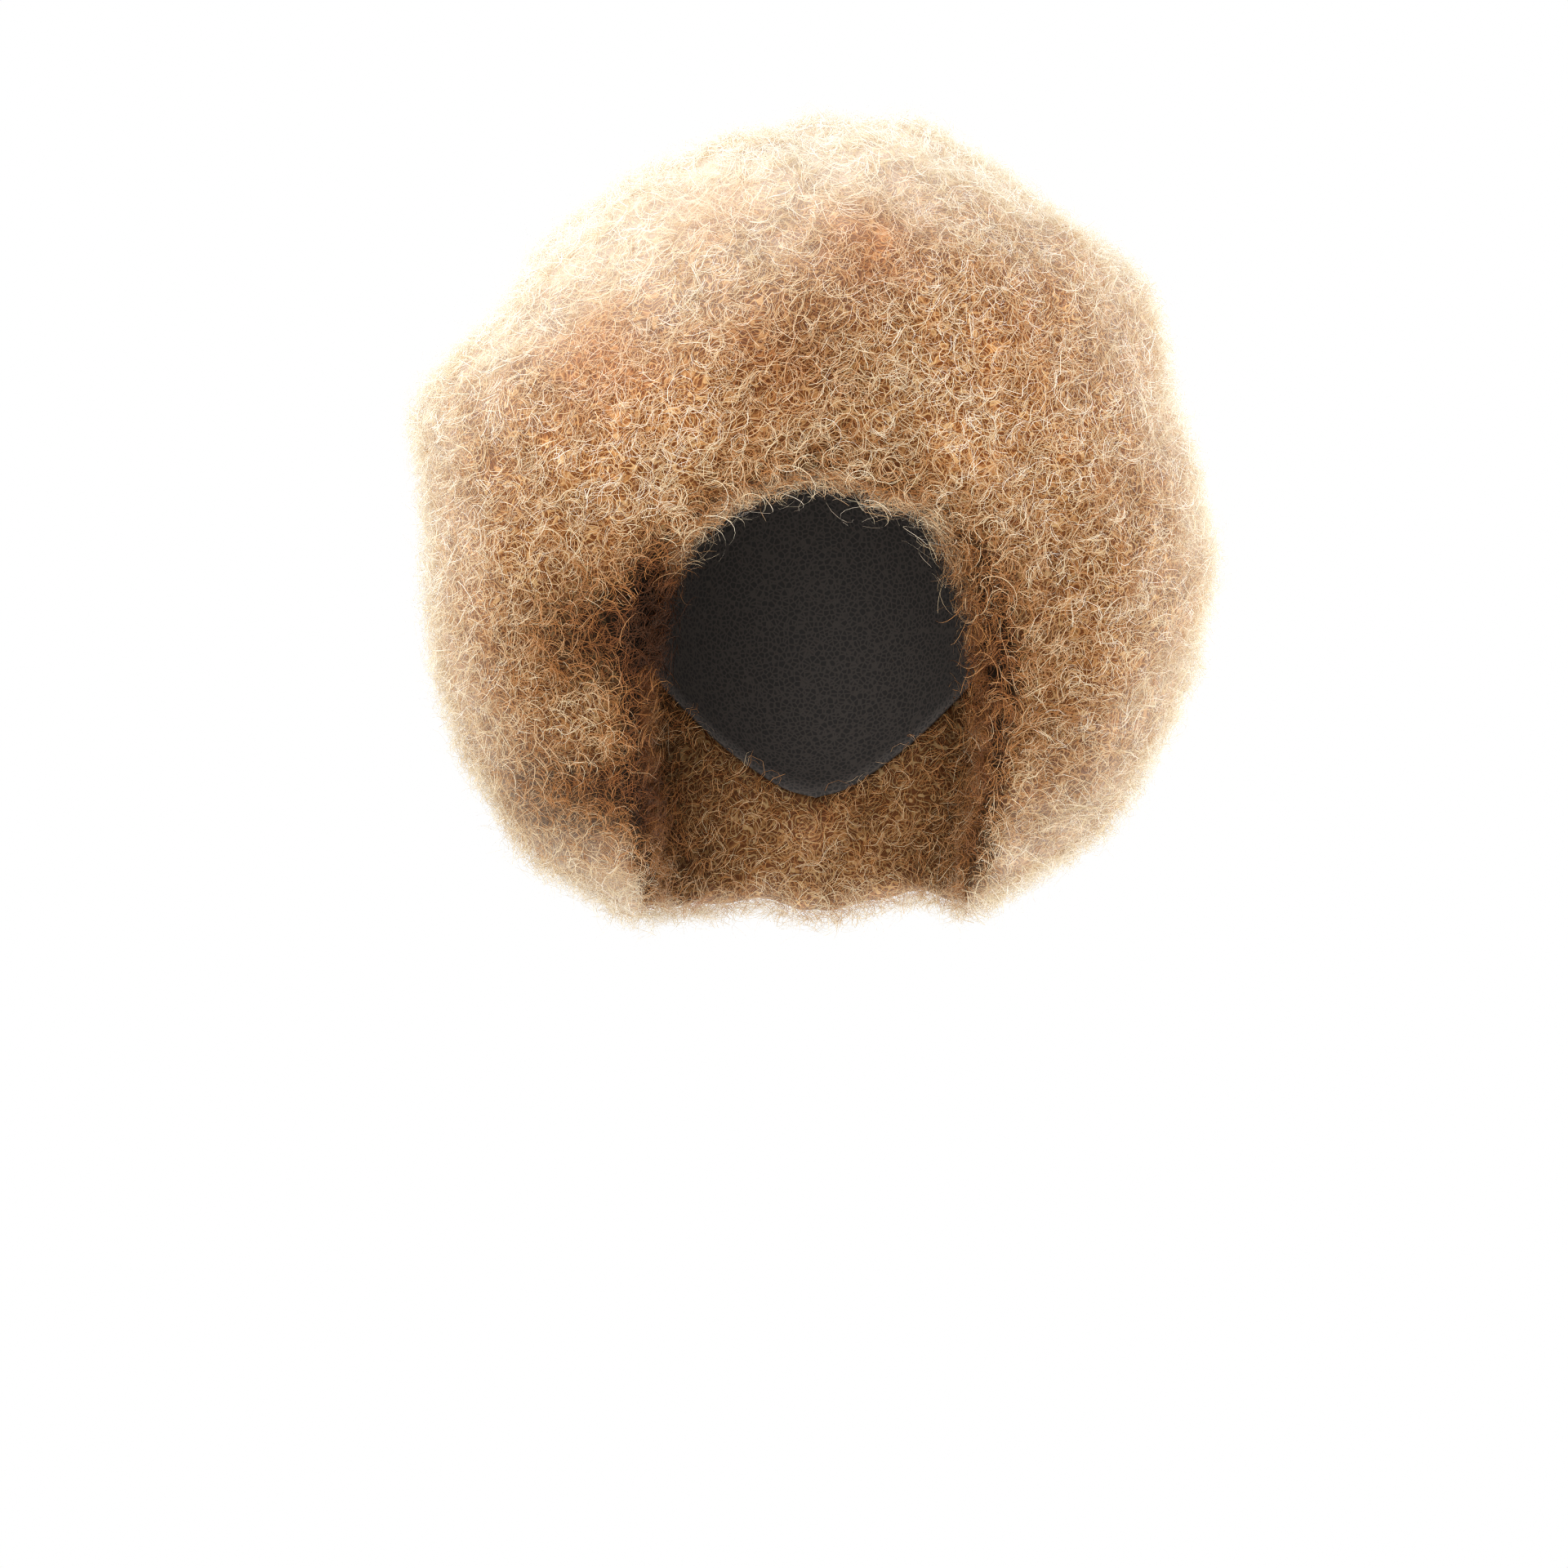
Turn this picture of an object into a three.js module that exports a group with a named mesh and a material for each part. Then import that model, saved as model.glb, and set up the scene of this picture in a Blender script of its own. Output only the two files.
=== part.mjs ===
// A round curly wig in its worn form: a stretch cap, and the hair sewn to it in wefts.
// Millimetres, +Z up, and the front opening looks along -Y. The origin is the inside of the cap at its crown.
import * as THREE from "three";
import { mergeVertices } from "three/addons/utils/BufferGeometryUtils.js";

// The inside of the cap is an ellipsoid.
const INSIDE_HALF_WIDTH = 77;
const INSIDE_HALF_LENGTH = 96;
const CROWN_TO_WIDEST = 100;
const INSIDE_CENTRE_Y = 3;

const CAP_WALL = 1.5;
const CAP_TO_HAIR = 0.4;

// The hair is a ball of locks round this centre.
const HAIR_CENTRE = new THREE.Vector3(0, 10, -80);
const LOCK_COUNT = 170; // over a whole ball
const LOCK_RELIEF = 9; // from the groove between two locks to a lock's tip
const EDGE_RAGGEDNESS = 14; // from the shortest lock to the longest along the hair's lower edge
const EDGE_BULGE = 5; // by which the hair rounds out below the line from the cap's rim to that edge

// How far the lock tips reach from the hair's centre on four sides: a row for each angle down from the top.
const REACH = [
  { down: 0, right: 187, left: 187, front: 187, back: 187 },
  { down: 16, right: 192, left: 184, front: 185, back: 186 },
  { down: 34, right: 180, left: 182, front: 178, back: 183 },
  { down: 50, right: 184, left: 176, front: 171, back: 181 },
  { down: 60, right: 176, left: 178, front: 166, back: 179 },
  { down: 69, right: 168, left: 188, front: 161, back: 178 },
  { down: 80, right: 170, left: 174, front: 154, back: 176 },
  { down: 95, right: 173, left: 171, front: 141, back: 176 },
  { down: 110, right: 171, left: 175, front: 130, back: 177 },
  { down: 125, right: 173, left: 178, front: 111, back: 179 },
  { down: 140, right: 173, left: 182, front: 92, back: 182 },
  { down: 155, right: 169, left: 174, front: 82, back: 184 },
  { down: 180, right: 170, left: 170, front: 82, back: 184 },
];

// The two lower edges from the front round to the nape, the same on both sides: a row for each station.
// capRim is the height of the cap's rim, and hairEdge the angle down to the edge of the hair.
const EDGES = [
  { azimuth: 0, capRim: -49, hairEdge: 82 },
  { azimuth: 16, capRim: -52, hairEdge: 86 },
  { azimuth: 30, capRim: -60, hairEdge: 98 },
  { azimuth: 42, capRim: -70, hairEdge: 124 },
  { azimuth: 52, capRim: -80, hairEdge: 139 },
  { azimuth: 62, capRim: -94, hairEdge: 149 },
  { azimuth: 80, capRim: -124, hairEdge: 157 },
  { azimuth: 100, capRim: -129, hairEdge: 158 },
  { azimuth: 120, capRim: -144, hairEdge: 157 },
  { azimuth: 140, capRim: -165, hairEdge: 155 },
  { azimuth: 160, capRim: -180, hairEdge: 154 },
  { azimuth: 180, capRim: -185, hairEdge: 153 },
];

// The grid that both the cap and the hair are laid out on: rows run down from the crown, columns round from the front.
const COLUMNS_PER_STATION = 4;
const HALF_COLUMNS = (EDGES.length - 1) * COLUMNS_PER_STATION;
const COLUMNS = 2 * HALF_COLUMNS;
const ROWS = 36;
const CAP_ROW_STEP = 4; // the cap and the hair's inner skin take every fourth row
const CAP_COLUMN_STEP = 2; // and every second column
const HAIR_LAYERS = 3; // from the inner skin to the locks' surface
const ROW_TRIM = 0.05; // of a row, cut from each side of a seam between wefts
const COLUMN_TRIM = 0.06; // of a column, likewise
const SAME_POINT = 1e-3;

// Columns crowd together at the crown, so the rows above a limit take only every so many of them.
const CROWN_COLUMN_STEPS = [
  { aboveRow: 4, step: 4 },
  { aboveRow: 9, step: 2 },
];

// The rows and columns where one weft ends and the next begins.
const CROWN_END = 12;
const UPPER_END = 20;
const MIDDLE_END = 28;
const FRINGE_END = 8;
const SIDE_END = 26;

// The hair's wefts: a row for each, with the rows and columns of the grid that it covers.
const WEFTS = [
  { name: "hair_crown", firstRow: 0, lastRow: CROWN_END, firstColumn: 0, lastColumn: COLUMNS },
  { name: "hair_upper", firstRow: CROWN_END, lastRow: UPPER_END, firstColumn: 0, lastColumn: COLUMNS },
  { name: "hair_middle", firstRow: UPPER_END, lastRow: MIDDLE_END, firstColumn: 0, lastColumn: COLUMNS },
  { name: "hair_fringe", firstRow: MIDDLE_END, lastRow: ROWS, firstColumn: -FRINGE_END, lastColumn: FRINGE_END },
  { name: "hair_side_right", firstRow: MIDDLE_END, lastRow: ROWS, firstColumn: FRINGE_END, lastColumn: SIDE_END },
  { name: "hair_nape", firstRow: MIDDLE_END, lastRow: ROWS, firstColumn: SIDE_END, lastColumn: COLUMNS - SIDE_END },
  { name: "hair_side_left", firstRow: MIDDLE_END, lastRow: ROWS, firstColumn: -SIDE_END, lastColumn: -FRINGE_END },
];

const HAIR_MATERIAL = new THREE.MeshStandardMaterial({ color: 0xcba271, roughness: 0.65, metalness: 0 });
const CAP_MATERIAL = new THREE.MeshStandardMaterial({ color: 0x1b1613, roughness: 0.9, metalness: 0 });

// A column of a table as a smooth function of its key column: cubic pieces whose slopes are those of the chords
// between each row's neighbours.
function smoothColumn(rows, key, column) {
  const slopes = rows.map((row, i) => {
    const before = rows[Math.max(i - 1, 0)];
    const after = rows[Math.min(i + 1, rows.length - 1)];
    return (after[column] - before[column]) / (after[key] - before[key]);
  });
  return (at) => {
    const next = THREE.MathUtils.clamp(rows.findIndex((row) => row[key] > at), 1, rows.length - 1);
    const i = at >= rows[rows.length - 1][key] ? rows.length - 2 : next - 1;
    const width = rows[i + 1][key] - rows[i][key];
    const s = (at - rows[i][key]) / width;
    const rise = s * s * (3 - 2 * s);
    return (
      rows[i][column] * (1 - rise) +
      rows[i + 1][column] * rise +
      width * s * (1 - s) * (slopes[i] * (1 - s) - slopes[i + 1] * s)
    );
  };
}

const reachOn = {};
for (const side of ["right", "left", "front", "back"]) reachOn[side] = smoothColumn(REACH, "down", side);

const numberedEdges = EDGES.map((row, station) => ({ ...row, station }));
const azimuthAt = smoothColumn(numberedEdges, "station", "azimuth");
const capRimAt = smoothColumn(numberedEdges, "station", "capRim");
const hairEdgeAt = smoothColumn(numberedEdges, "station", "hairEdge");

// The azimuth and both edges at a column of the grid. Columns past the nape mirror those before it.
function edgesAt(column) {
  const turned = THREE.MathUtils.euclideanModulo(column, COLUMNS);
  const mirrored = turned > HALF_COLUMNS;
  const station = (mirrored ? COLUMNS - turned : turned) / COLUMNS_PER_STATION;
  const azimuth = THREE.MathUtils.degToRad(azimuthAt(station));
  const capRimCosine = (capRimAt(station) + CROWN_TO_WIDEST) / CROWN_TO_WIDEST;
  return {
    azimuth: mirrored ? -azimuth : azimuth,
    capAngle: Math.acos(capRimCosine),
    hairAngle: THREE.MathUtils.degToRad(hairEdgeAt(station)),
  };
}

// The unit vector at an angle down from the top and an azimuth from the front towards the right.
function direction(down, azimuth) {
  const level = Math.sin(down);
  return new THREE.Vector3(level * Math.sin(azimuth), -level * Math.cos(azimuth), Math.cos(down));
}

// A point on the inside of the cap, pushed out by an offset.
function insidePoint(down, azimuth, offset) {
  const halfSizes = new THREE.Vector3(INSIDE_HALF_WIDTH, INSIDE_HALF_LENGTH, CROWN_TO_WIDEST).addScalar(offset);
  const centre = new THREE.Vector3(0, INSIDE_CENTRE_Y, -CROWN_TO_WIDEST);
  return direction(down, azimuth).multiply(halfSizes).add(centre);
}

// The reach of the lock tips in a direction: each side counts by the square of its share of the level direction.
function reachAt(down, azimuth) {
  const degrees = THREE.MathUtils.radToDeg(down);
  const across = Math.sin(azimuth) ** 2;
  const sideways = reachOn[Math.sin(azimuth) > 0 ? "right" : "left"](degrees);
  const lengthways = reachOn[Math.cos(azimuth) > 0 ? "front" : "back"](degrees);
  return across * sideways + (1 - across) * lengthways;
}

// The lock tips' directions, spread evenly over a ball along a spiral of golden angles.
const GOLDEN_ANGLE = Math.PI * (3 - Math.sqrt(5));
const LOCK_TIPS = Array.from({ length: LOCK_COUNT }, (_, i) =>
  direction(Math.acos(1 - (2 * i + 1) / LOCK_COUNT), i * GOLDEN_ANGLE),
);

// 1 at a lock's tip, falling to about 0 in the groove between it and the next lock.
function lockHeight(towards) {
  const nearest = Math.min(...LOCK_TIPS.map((tip) => tip.distanceToSquared(towards)));
  const lockRadiusSquared = 4 / LOCK_COUNT; // a disc of a lock's share of the unit ball
  return Math.max(0, 1 - nearest / lockRadiusSquared);
}

const BULGE_PEAK = 4 / 27; // the highest value of out squared times (1 - out)

// A point of the hair: layer 0 is the inner skin over the cap, and the last layer is the locks' surface.
function hairPoint(row, column, layer) {
  const { azimuth, capAngle, hairAngle } = edgesAt(column);
  const share = row / ROWS;
  const out = layer / HAIR_LAYERS;
  let down = share * hairAngle;
  const lock = lockHeight(direction(down, azimuth));
  const root = insidePoint(share * capAngle, azimuth, CAP_WALL + CAP_TO_HAIR);
  const reach = reachAt(down, azimuth) - LOCK_RELIEF * (1 - lock);
  if (row === ROWS) {
    const drop = EDGE_RAGGEDNESS * (lock - 0.5) * out + (EDGE_BULGE * out * out * (1 - out)) / BULGE_PEAK;
    down += drop / reach;
  }
  const tip = direction(down, azimuth).multiplyScalar(reach).add(HAIR_CENTRE);
  return root.lerp(tip, out);
}

// A closed solid over a block of a grid: the outer and inner skins, and the walls between their edges. A block that
// goes all the way round has no end walls. pointAt(i, j, k) gives the point at row i, column j and layer k.
function blockGeometry({ rows, columns, layers, isRing, pointAt }) {
  const corners = [];
  const addTriangle = (...points) => {
    const [a, b, c] = points;
    const shortest = Math.min(a.distanceTo(b), b.distanceTo(c), c.distanceTo(a));
    if (shortest > SAME_POINT) corners.push(...points.flatMap((point) => point.toArray()));
  };
  // One face of the block, as quads. A wall's quads are split along the same diagonal as those of the wall that it
  // meets, and a skin's along the shorter one.
  const addFace = (width, height, { isTurned, isSkin }, at) => {
    for (let a = 0; a < width; a++) {
      for (let b = 0; b < height; b++) {
        const quad = [at(a, b), at(a + 1, b), at(a + 1, b + 1), at(a, b + 1)];
        if (isTurned) [quad[1], quad[3]] = [quad[3], quad[1]];
        if (isSkin && quad[1].distanceTo(quad[3]) < quad[0].distanceTo(quad[2])) quad.push(quad.shift());
        addTriangle(quad[0], quad[1], quad[2]);
        addTriangle(quad[0], quad[2], quad[3]);
      }
    }
  };
  // The outer and inner skins, the upper and lower walls, and the end walls.
  addFace(rows, columns, { isSkin: true }, (i, j) => pointAt(i, j, layers));
  addFace(rows, columns, { isSkin: true, isTurned: true }, (i, j) => pointAt(i, j, 0));
  addFace(layers, columns, {}, (k, j) => pointAt(0, j, k));
  addFace(layers, columns, { isTurned: true }, (k, j) => pointAt(rows, j, k));
  if (!isRing) {
    addFace(rows, layers, {}, (i, k) => pointAt(i, 0, k));
    addFace(rows, layers, { isTurned: true }, (i, k) => pointAt(i, columns, k));
  }
  const geometry = new THREE.BufferGeometry();
  geometry.setAttribute("position", new THREE.Float32BufferAttribute(corners, 3));
  return mergeVertices(geometry, SAME_POINT);
}

function namedMesh(name, geometry, material) {
  geometry.computeVertexNormals();
  const mesh = new THREE.Mesh(geometry, material);
  mesh.name = name;
  return mesh;
}

// The cap: one wall from the crown down to the rim.
function capMesh() {
  const pointAt = (i, j, k) => {
    const { azimuth, capAngle } = edgesAt(j * CAP_COLUMN_STEP);
    return insidePoint(((i * CAP_ROW_STEP) / ROWS) * capAngle, azimuth, k * CAP_WALL);
  };
  const rows = ROWS / CAP_ROW_STEP;
  const columns = COLUMNS / CAP_COLUMN_STEP;
  return namedMesh("wig_cap", blockGeometry({ rows, columns, layers: 1, isRing: true, pointAt }), CAP_MATERIAL);
}

// One weft of locks, trimmed a little where it meets the next.
function weftMesh({ name, firstRow, lastRow, firstColumn, lastColumn }) {
  const isRing = lastColumn - firstColumn === COLUMNS;
  const trimmed = (index, first, last, trim) => index + (index === first ? trim : 0) - (index === last ? trim : 0);
  const pointAt = (i, j, k) => {
    const isInner = k === 0;
    const row = firstRow + (isInner ? i - (i % CAP_ROW_STEP) : i);
    const nearCrown = CROWN_COLUMN_STEPS.find(({ aboveRow }) => row < aboveRow);
    const step = isInner ? CAP_COLUMN_STEP : (nearCrown?.step ?? 1);
    const column = firstColumn + j - (j % step);
    const isSeam = (row === firstRow && firstRow > 0) || (row === lastRow && lastRow < ROWS);
    return hairPoint(
      isSeam ? trimmed(row, firstRow, lastRow, ROW_TRIM) : row,
      isRing ? column : trimmed(column, firstColumn, lastColumn, COLUMN_TRIM),
      k,
    );
  };
  const block = { rows: lastRow - firstRow, columns: lastColumn - firstColumn, layers: HAIR_LAYERS, isRing, pointAt };
  return namedMesh(name, blockGeometry(block), HAIR_MATERIAL);
}

const wig = new THREE.Group();
wig.add(capMesh(), ...WEFTS.map(weftMesh));

export default wig;
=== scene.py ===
"""A large round curly wig on its own: a near-black stretch cap and a ball of golden blond curls.

Metres in the row frame: +Z up, and the front opening looks along -Y. The hair is a body that follows the
packed locks, covered with thin ribbons that curl out of it. All ribbons are made as whole arrays: strand,
point along it, side.
"""

import math

import bmesh
import bpy
import numpy as np
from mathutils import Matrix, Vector
from mathutils.bvhtree import BVHTree

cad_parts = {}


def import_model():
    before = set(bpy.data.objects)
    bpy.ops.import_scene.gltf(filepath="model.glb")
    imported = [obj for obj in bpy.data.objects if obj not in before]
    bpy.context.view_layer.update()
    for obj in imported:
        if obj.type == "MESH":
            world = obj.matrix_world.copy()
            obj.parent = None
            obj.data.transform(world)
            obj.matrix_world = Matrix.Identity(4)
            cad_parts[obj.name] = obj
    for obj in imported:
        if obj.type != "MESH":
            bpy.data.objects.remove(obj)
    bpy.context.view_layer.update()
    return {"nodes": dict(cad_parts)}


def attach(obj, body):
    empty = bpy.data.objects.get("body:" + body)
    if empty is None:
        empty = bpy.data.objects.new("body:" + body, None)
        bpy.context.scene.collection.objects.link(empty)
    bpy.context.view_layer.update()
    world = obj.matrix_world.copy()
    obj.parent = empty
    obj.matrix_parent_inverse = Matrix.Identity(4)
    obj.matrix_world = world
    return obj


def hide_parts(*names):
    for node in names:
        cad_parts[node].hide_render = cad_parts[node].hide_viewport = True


MM = 0.001
SEED = 11

CAP_NODE = "wig_cap"
HAIR_NODES = [
    "hair_crown",
    "hair_upper",
    "hair_middle",
    "hair_fringe",
    "hair_side_right",
    "hair_nape",
    "hair_side_left",
]

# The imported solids' skin. A face that meets another solid within the seam's reach is inside the hair.
SEAM_REACH = 3 * MM
RAY_LIFT = 1e-4  # off the face that it starts from
SEAM_WELD = 2.4 * MM
CALM_ROUNDS = 8  # of smoothing, because the curls fill the grooves between the locks
CALM_SHARES = (0.5, -0.52)  # of the way to the middle of a corner's neighbours, and then back
FILL_OUT = 4 * MM  # from the smoothed surface to the locks' tips
WALL_FILL = -1.25  # of that on the walls round the opening, where the curls reach further out
FILL_STEEPNESS = 2  # of the change from one to the other

# The body under the curls.
BODY_DEPTH = 4.5 * MM
BODY_LEVELS = 1

# The curls, a row for each kind. Lengths in millimetres, tilts in radians from the hair's outward direction.
# A clump is a group of strands that curl round one centre, and spread is how much they differ.
CURLS = {
    "loop": dict(
        clumps=13000, clump=3, points=8, turns=(0.7, 1.15), radius=(2.6, 6.2), length=(2, 8), start=(-6, 1),
        tilt=0.7, spread=0.35, width=0.22, tone=(0.32, 0.9), combed=(1.0, 0.6),
    ),
    "tangle": dict(
        clumps=22000, clump=1, points=5, turns=(0.4, 0.6), radius=(3.5, 7.5), length=(1, 6), start=(-6, 2),
        tilt=0.9, spread=0.0, width=0.22, tone=(0.32, 0.9),
    ),
    "wave": dict(
        clumps=3300, clump=3, points=7, turns=(0.8, 1.4), radius=(1.2, 2.4), length=(12, 20), start=(-3, 2),
        tilt=0.25, spread=0.3, width=0.20, tone=(0.36, 1.0), combed=(0.25, 1.0),
    ),
    "wisp": dict(
        clumps=5500, clump=1, points=7, turns=(0.6, 1.1), radius=(1.6, 3.8), length=(8, 18), start=(-4, -1),
        tilt=0.6, spread=0.0, width=0.20, tone=(0.6, 1.0),
    ),
    "edge_ring": dict(
        clumps=250, clump=6, points=9, turns=(0.8, 1.1), radius=(2.2, 5.6), length=(2, 7), start=(-4, 2),
        tilt=0.6, spread=1.0, width=0.24, tone=(0.4, 0.9), at_opening=True,
    ),
    "stray": dict(
        clumps=160, clump=1, points=14, turns=(0.6, 1.2), radius=(4, 8.5), length=(6, 14), start=(-2, 3),
        tilt=0.5, spread=0.0, width=0.24, tone=(0.7, 1.0), at_opening=True,
    ),
}
STRAND_SHADE = (0.6, 1.2)  # powers of the shade on single strands, so that some stay light in the dark
EDGE_STRAND_SHADE = 0.5  # of that, for the strands along the opening
EDGE_STRAND_POWER = 4  # of the nearness to the opening, so that they stand close to it
BODY_SHADE = 2.4  # the power of the painted shade that the gaps between them take
DEEP = -6 * MM  # strands this far below the hair's surface are darkest, by painted shade
HIGH = 3 * MM  # and these have their own tone, without painted shade of depth
TIP_HIGH = 11 * MM  # tips that stand out this far are palest, by painted light
# Painted light on the tips, as the share of the way to the palest tone.
TIP_LIGHT_PAINT = 0.5
# Painted shade of depth: the share of a strand's tone left at DEEP.
DEEP_TONE = 0.5
MIDDLE_TONE = 0.58  # strands differ from this more at the top than at the bottom, as painted light from above
CONTRAST_RISE = 0.15
CLUMP_GAP = 1.3 * MM  # between neighbours of a clump
RADIUS_SHIFT = 0.4  # millimetres, by which they differ besides
START_SHIFT = 0.5  # likewise
COIL_WOBBLE = 0.25  # of a coil's radius, from its root to its tip
STRAND_LEAN = 0.3  # of a clump's lean, by which its strands differ
COMB_STRAY = 0.3  # by which waves leave the comb's direction
WAVE_LIFT = 2.5 * MM  # of a wave's middle above its ends
WAVE_ROLL = 0.6  # of its swing, up and down
COMB = np.array([0.80, 0.0, 0.60])  # waves run up to the right
COMBED_SIDE = np.array([-0.64, -0.36, 0.68])  # the way that the combed part of the hair points
COMBED_RANGE = (0.45, 0.95)  # of the cosine to it, from none to all combed
TIP_WIDTH = 0.35  # of a strand's width
HAIR_MIDDLE = np.array([0, 10, -80]) * MM
INNER_WEIGHT = 0.55  # how densely the hidden walls round the opening are covered
ROUNDNESS = 0.4  # how far a strand's shading follows the whole ball of hair
CURL_FACING = 0.8  # how far a ribbon lies on its curl's outside, besides on the hair's
STRIP_SIDES = np.array([0.1, 0.9])  # a ribbon's share of its strip in the bake's map, across
STRIP_START = 0.03  # and along
STRIP_LENGTH = 0.94

# Patches on the front: across and height of the middle, half width and half height in millimetres,
# and strength.
RED_PATCHES = [
    (22, 37, 23, 22, 0.9),
    (-86, -10, 24, 24, 0.7),
    (-19, -8, 24, 24, 0.6),
    (-43, 55, 20, 16, 0.4),
    (80, 0, 26, 26, 0.25),
]
# Painted shade: patches of shadow beside the opening and on the front.
SHADE_PATCHES = [
    (-86, -119, 36, 24, 0.7),
    (-88, -184, 36, 19, 0.52),
    (-63, -113, 14, 28, 0.95),
    (-64, -172, 15, 36, 0.5),
    (66, -135, 14, 44, 0.42),
    (-115, -175, 45, 45, 0.15),
    (74, -140, 42, 50, 0.3),
    (3, -15, 40, 38, 0.23),
    (-102, -76, 32, 30, 0.1),
    (108, -84, 32, 34, 0.09),
]

# Painted shade: the hair is darker along the edge of the front opening, an ellipse as seen from the front,
# on walls that turn sideways from the hair's middle, on the patches, and between tufts, with a little
# painted light on the tufts.
OPENING_MIDDLE = np.array([0, -125]) * MM
OPENING_HALF_WIDTH = 70 * MM
OPENING_HALF_HEIGHT = 72 * MM  # above the middle
OPENING_DROP = 160 * MM  # below it, where the opening runs out at the bottom
OPENING_SHADE = 0.35
OPENING_SHADE_REACH = 0.35  # of the ellipse's half size
OPENING_SHADE_POWER = 1.4
OPENING_BEHIND = 60 * MM  # the shade and the patches fade out towards here
UNDER_SHADE = 0.45  # on walls
UNDER_START = 0.7  # of the cosine to the way out from the middle, where that begins
RED_SHADE = 0.04  # on the red patches
TUFT_SHADE = 0.045  # lighter on the tufts and darker between them
TUFT_WAVES = 16
TUFT_SPACING = (16, 34)  # from tuft to tuft in millimetres
TUFT_LIMIT = 1.6

# Painted light: the hair is paler on a belt over both sides, and on the crown, from where it fades downwards
# all round.
LIGHT_BELT_OUTER = 0.66  # how far forwards a direction points where the belt ends
LIGHT_BELT_OUTER_BEHIND = 0.85  # and how far back
LIGHT_BELT_LEAN = np.array([0.02, 0, 0.21])  # added to the first, so that the belt is wider at the top
LIGHT_BELT_INNER = 0.05  # and where the belt is full
LIGHT_BELT_STRENGTH = 0.48
LIGHT_CROWN_WAY = np.array([-0.34, 0.0, 0.94])  # where the crown is palest
LIGHT_CROWN_RANGE = (0.40, 0.96)  # of the cosine to it, from none to all pale
LIGHT_CROWN_STRENGTH = 0.56
LIGHT_OUTWARD = 1.5  # walls that turn away from the hair's middle lose it
BODY_TONE = 0.8  # of the hair's depths away from the belt of painted light

# The inside of the cap, as in the imported part.
INSIDE_HALF = np.array([77, 96, 100]) * MM
INSIDE_CENTRE = np.array([0, 3, -100]) * MM
CAP_WALL = 1.5 * MM
CAP_RIM = np.array(  # azimuth in degrees from the front, and height of the rim in millimetres
    [
        (0, -49),
        (16, -52),
        (30, -60),
        (42, -70),
        (52, -80),
        (62, -94),
        (80, -124),
        (100, -129),
        (120, -144),
        (140, -165),
        (160, -180),
        (180, -185),
    ]
)
CAP_COLUMNS_PER_STATION = 6
CAP_ROWS = 24

# The hair's colours by tone, from painted shade in its depths through the strands' own colours to painted
# light on its palest strands, and the colours of the light that comes through it.
HAIR_COLOURS = [
    (0.0, (0.060, 0.017, 0.005)),
    (0.15, (0.20, 0.062, 0.017)),
    (0.35, (0.44, 0.195, 0.060)),
    (0.68, (0.71, 0.602, 0.402)),
    (1.0, (0.98, 0.95, 0.90)),
]
LIGHT_THROUGH_COLOURS = [
    (0.0, (0.060, 0.017, 0.005)),
    (0.3, (0.50, 0.25, 0.095)),
    (0.6, (0.86, 0.805, 0.665)),
    (1.0, (1.0, 0.99, 0.98)),
]
LIGHT_THROUGH = 0.35
STRAND_ROUGHNESS = 0.42
STRAND_SHINE = 0.35
SHINE_TINT = (1.0, 0.84, 0.62, 1)
RED_TINT = (0.94, 0.70, 0.54, 1)

# The body's colours and finish.
# The depths' dark reddish brown is partly painted shade between the curls.
BODY_DARK = (0.19, 0.058, 0.016)
# The body's colour under full painted light.
BODY_PAINTED_LIGHT = (0.92, 0.82, 0.70, 1)
BODY_LINES = [  # scale, levels, sharpness and colour of each layer of lines
    (60, 18, 0.1, (0.36, 0.14, 0.042)),
    (75, 16, 0.4, (0.55, 0.27, 0.095)),
    (85, 14, 0.6, (0.76, 0.47, 0.21)),
]
BODY_LINES_APART = 3.7  # between the layers' places in the noise
BODY_ROUGHNESS = 0.55
BODY_SHINE = 0.1
BODY_BUMP = 0.8
BODY_BUMP_DEPTH = 0.6 * MM

# The cap's net.
NET_SCALE = 420
NET_COLOURS = [(0.05, (0.035, 0.028, 0.024)), (0.2, (0.010, 0.008, 0.007))]  # thread, and the gap in a mesh
NET_ROUGHNESS = 0.85

# The stage.
FLOOR_Z = -479 * MM
FLOOR_HALF = 6
FLOOR_COLOUR = (0.75, 0.73, 0.70, 1)
FLOOR_ROUGHNESS = 0.9
CAMERA_PLACE = (-0.0142, -1.6, -0.180)
CAMERA_LENS = 84.4
SENSOR_WIDTH = 36
FILTER_WIDTH = 1.2  # narrow, so that single strands stay crisp
SKY_LIGHT = 0.7
WHITE = (1, 1, 1, 1)
LIGHT_TARGET = (0, 0, -0.08)
LIGHTS = {  # place, size and power
    "light_left": ((-1.4, -0.05, 0.7), 1.0, 20),
    "light_right": ((1.4, 0.1, 0.2), 1.0, 20),
    "light_top": ((0.0, 0.0, 1.5), 1.0, 13),
    "light_front": ((-0.3, -1.9, 0.2), 1.2, 35),
    "light_back": ((0.3, 1.9, 0.3), 1.2, 24),
}


def unit(vectors):
    """Vectors divided by their lengths."""
    return vectors / np.maximum(np.linalg.norm(vectors, axis=-1, keepdims=True), 1e-12)


def square_pair(axes):
    """Two unit vectors square to each axis and to each other."""
    helper = np.where(np.abs(axes[:, 2:]) < 0.9, [[0.0, 0.0, 1.0]], [[1.0, 0.0, 0.0]])
    first = unit(np.cross(helper, axes))
    return first, np.cross(axes, first)


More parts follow.
